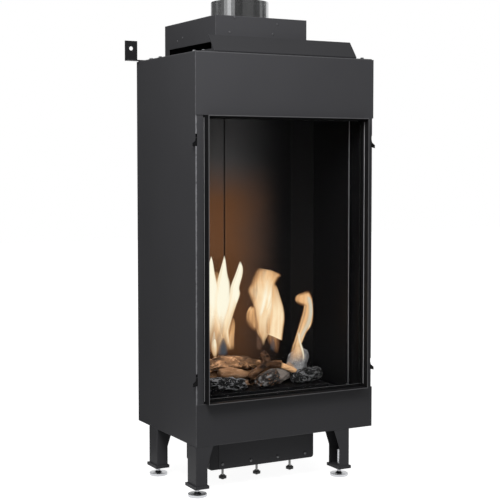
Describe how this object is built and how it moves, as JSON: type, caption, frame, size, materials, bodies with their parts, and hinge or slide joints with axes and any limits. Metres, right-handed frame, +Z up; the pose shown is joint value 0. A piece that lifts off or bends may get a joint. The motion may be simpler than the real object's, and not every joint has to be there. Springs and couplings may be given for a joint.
{
  "type": "gas fireplace",
  "caption": "Built-in gas fireplace: tall steel casing on screw feet, large window, log set over a burner, control box below, balanced flue with hood on top.",
  "frame": {"origin": "on the floor, under the centre of the object's bounding box", "axes": "+Z up, -Y the front with the window, +X to the right seen from the front"},
  "size_m": [0.5796, 0.376, 1.2411],
  "materials": {
    "casing_steel": "satin dark grey heat-resistant paint on folded sheet steel",
    "liner_black": "semi-gloss black enamel on sheet steel",
    "flue_steel": "bright rolled stainless steel",
    "plated_steel": "bright zinc plating",
    "valve_alloy": "die-cast, matte",
    "brass": "plain turned brass",
    "black_plastic": "moulded black plastic",
    "window_glass": "clear ceramic glass",
    "seal_rope": "braided glass-fibre rope",
    "charred_log": "ceramic fibre painted as charred wood",
    "bark_log": "ceramic fibre painted as bark and bare wood"
  },
  "bodies": {
    "casing": {"side_panel_left": "casing_steel", "side_panel_right": "casing_steel", "back_panel": "casing_steel", "bottom_plate": "casing_steel", "top_plate": "casing_steel", "front_panel_lower": "casing_steel", "front_panel_upper": "casing_steel", "front_deflector": "casing_steel", "hood": "casing_steel", "wall_bracket_left": "casing_steel", "wall_bracket_right": "casing_steel", "trim_hook_upper_left": "casing_steel", "trim_hook_lower_left": "casing_steel", "trim_hook_upper_right": "casing_steel", "trim_hook_lower_right": "casing_steel", "leg_front_left": "casing_steel", "leg_front_right": "casing_steel", "leg_rear_left": "casing_steel", "leg_rear_right": "casing_steel", "control_box": "casing_steel", "control_box_cover": "casing_steel", "gas_valve": "valve_alloy", "gas_inlet_pipe": "brass", "burner_supply_pipe": "brass", "firebox_shell": "liner_black", "liner_left": "liner_black", "liner_right": "liner_black", "liner_back_left": "liner_black", "liner_back_right": "liner_black", "floor_grille": "liner_black", "burner_tray": "liner_black", "pilot_burner": "brass", "ignition_electrode": "plated_steel", "flame_sensor": "brass", "flue_pipe_inner": "flue_steel", "flue_collar_outer": "flue_steel", "window_catch": "plated_steel", "log_front_charred": "charred_log", "log_right_charred": "charred_log", "log_split": "charred_log", "log_chunk": "charred_log", "log_rear": "bark_log", "log_smooth": "bark_log", "log_bark": "bark_log", "log_forked_branch": "bark_log"},
    "window": {"window_frame": "casing_steel", "window_glass": "window_glass", "window_seal": "seal_rope"},
    "foot_front_left": {"foot_front_left": "plated_steel"},
    "foot_front_right": {"foot_front_right": "plated_steel"},
    "foot_rear_left": {"foot_rear_left": "plated_steel"},
    "foot_rear_right": {"foot_rear_right": "plated_steel"},
    "thumb_nut_left": {"thumb_nut_left": "black_plastic"},
    "thumb_nut_centre": {"thumb_nut_centre": "black_plastic"},
    "thumb_nut_right": {"thumb_nut_right": "black_plastic"},
    "relief_flap": {"relief_flap": "plated_steel"},
    "flue_restrictor": {"flue_restrictor": "plated_steel"},
    "valve_gas_knob": {"valve_gas_knob": "black_plastic"},
    "valve_pilot_knob": {"valve_pilot_knob": "black_plastic"}
  },
  "joints": [
    {"name": "window_tilt", "type": "hinge", "parent": "casing", "child": "window", "pos_m": [0, -0.1715, 0.2326], "axis": [1, 0, 0], "range_deg": [0, 12]},
    {"name": "foot_front_left_screw", "type": "slide", "parent": "casing", "child": "foot_front_left", "axis": [0, 0, -1], "range_m": [0, 0.02]},
    {"name": "foot_front_right_screw", "type": "slide", "parent": "casing", "child": "foot_front_right", "axis": [0, 0, -1], "range_m": [0, 0.02]},
    {"name": "foot_rear_left_screw", "type": "slide", "parent": "casing", "child": "foot_rear_left", "axis": [0, 0, -1], "range_m": [0, 0.02]},
    {"name": "foot_rear_right_screw", "type": "slide", "parent": "casing", "child": "foot_rear_right", "axis": [0, 0, -1], "range_m": [0, 0.02]},
    {"name": "thumb_nut_left_run", "type": "slide", "parent": "casing", "child": "thumb_nut_left", "axis": [0, 0, 1], "range_m": [0, 0.016]},
    {"name": "thumb_nut_centre_run", "type": "slide", "parent": "casing", "child": "thumb_nut_centre", "axis": [0, 0, 1], "range_m": [0, 0.016]},
    {"name": "thumb_nut_right_run", "type": "slide", "parent": "casing", "child": "thumb_nut_right", "axis": [0, 0, 1], "range_m": [0, 0.016]},
    {"name": "relief_flap_hinge", "type": "hinge", "parent": "casing", "child": "relief_flap", "pos_m": [0.13, 0.0485, 1.0363], "axis": [-1, 0, 0], "range_deg": [0, 30]},
    {"name": "flue_restrictor_slide", "type": "slide", "parent": "casing", "child": "flue_restrictor", "axis": [-1, 0, 0], "range_m": [0, 0.035]},
    {"name": "gas_knob_turn", "type": "hinge", "parent": "casing", "child": "valve_gas_knob", "pos_m": [-0.102, -0.0873, 0.0762], "axis": [0, -1, 0], "range_deg": [0, 90]},
    {"name": "pilot_knob_turn", "type": "hinge", "parent": "casing", "child": "valve_pilot_knob", "pos_m": [-0.058, -0.0873, 0.0762], "axis": [0, -1, 0], "range_deg": [0, 210]}
  ]
}
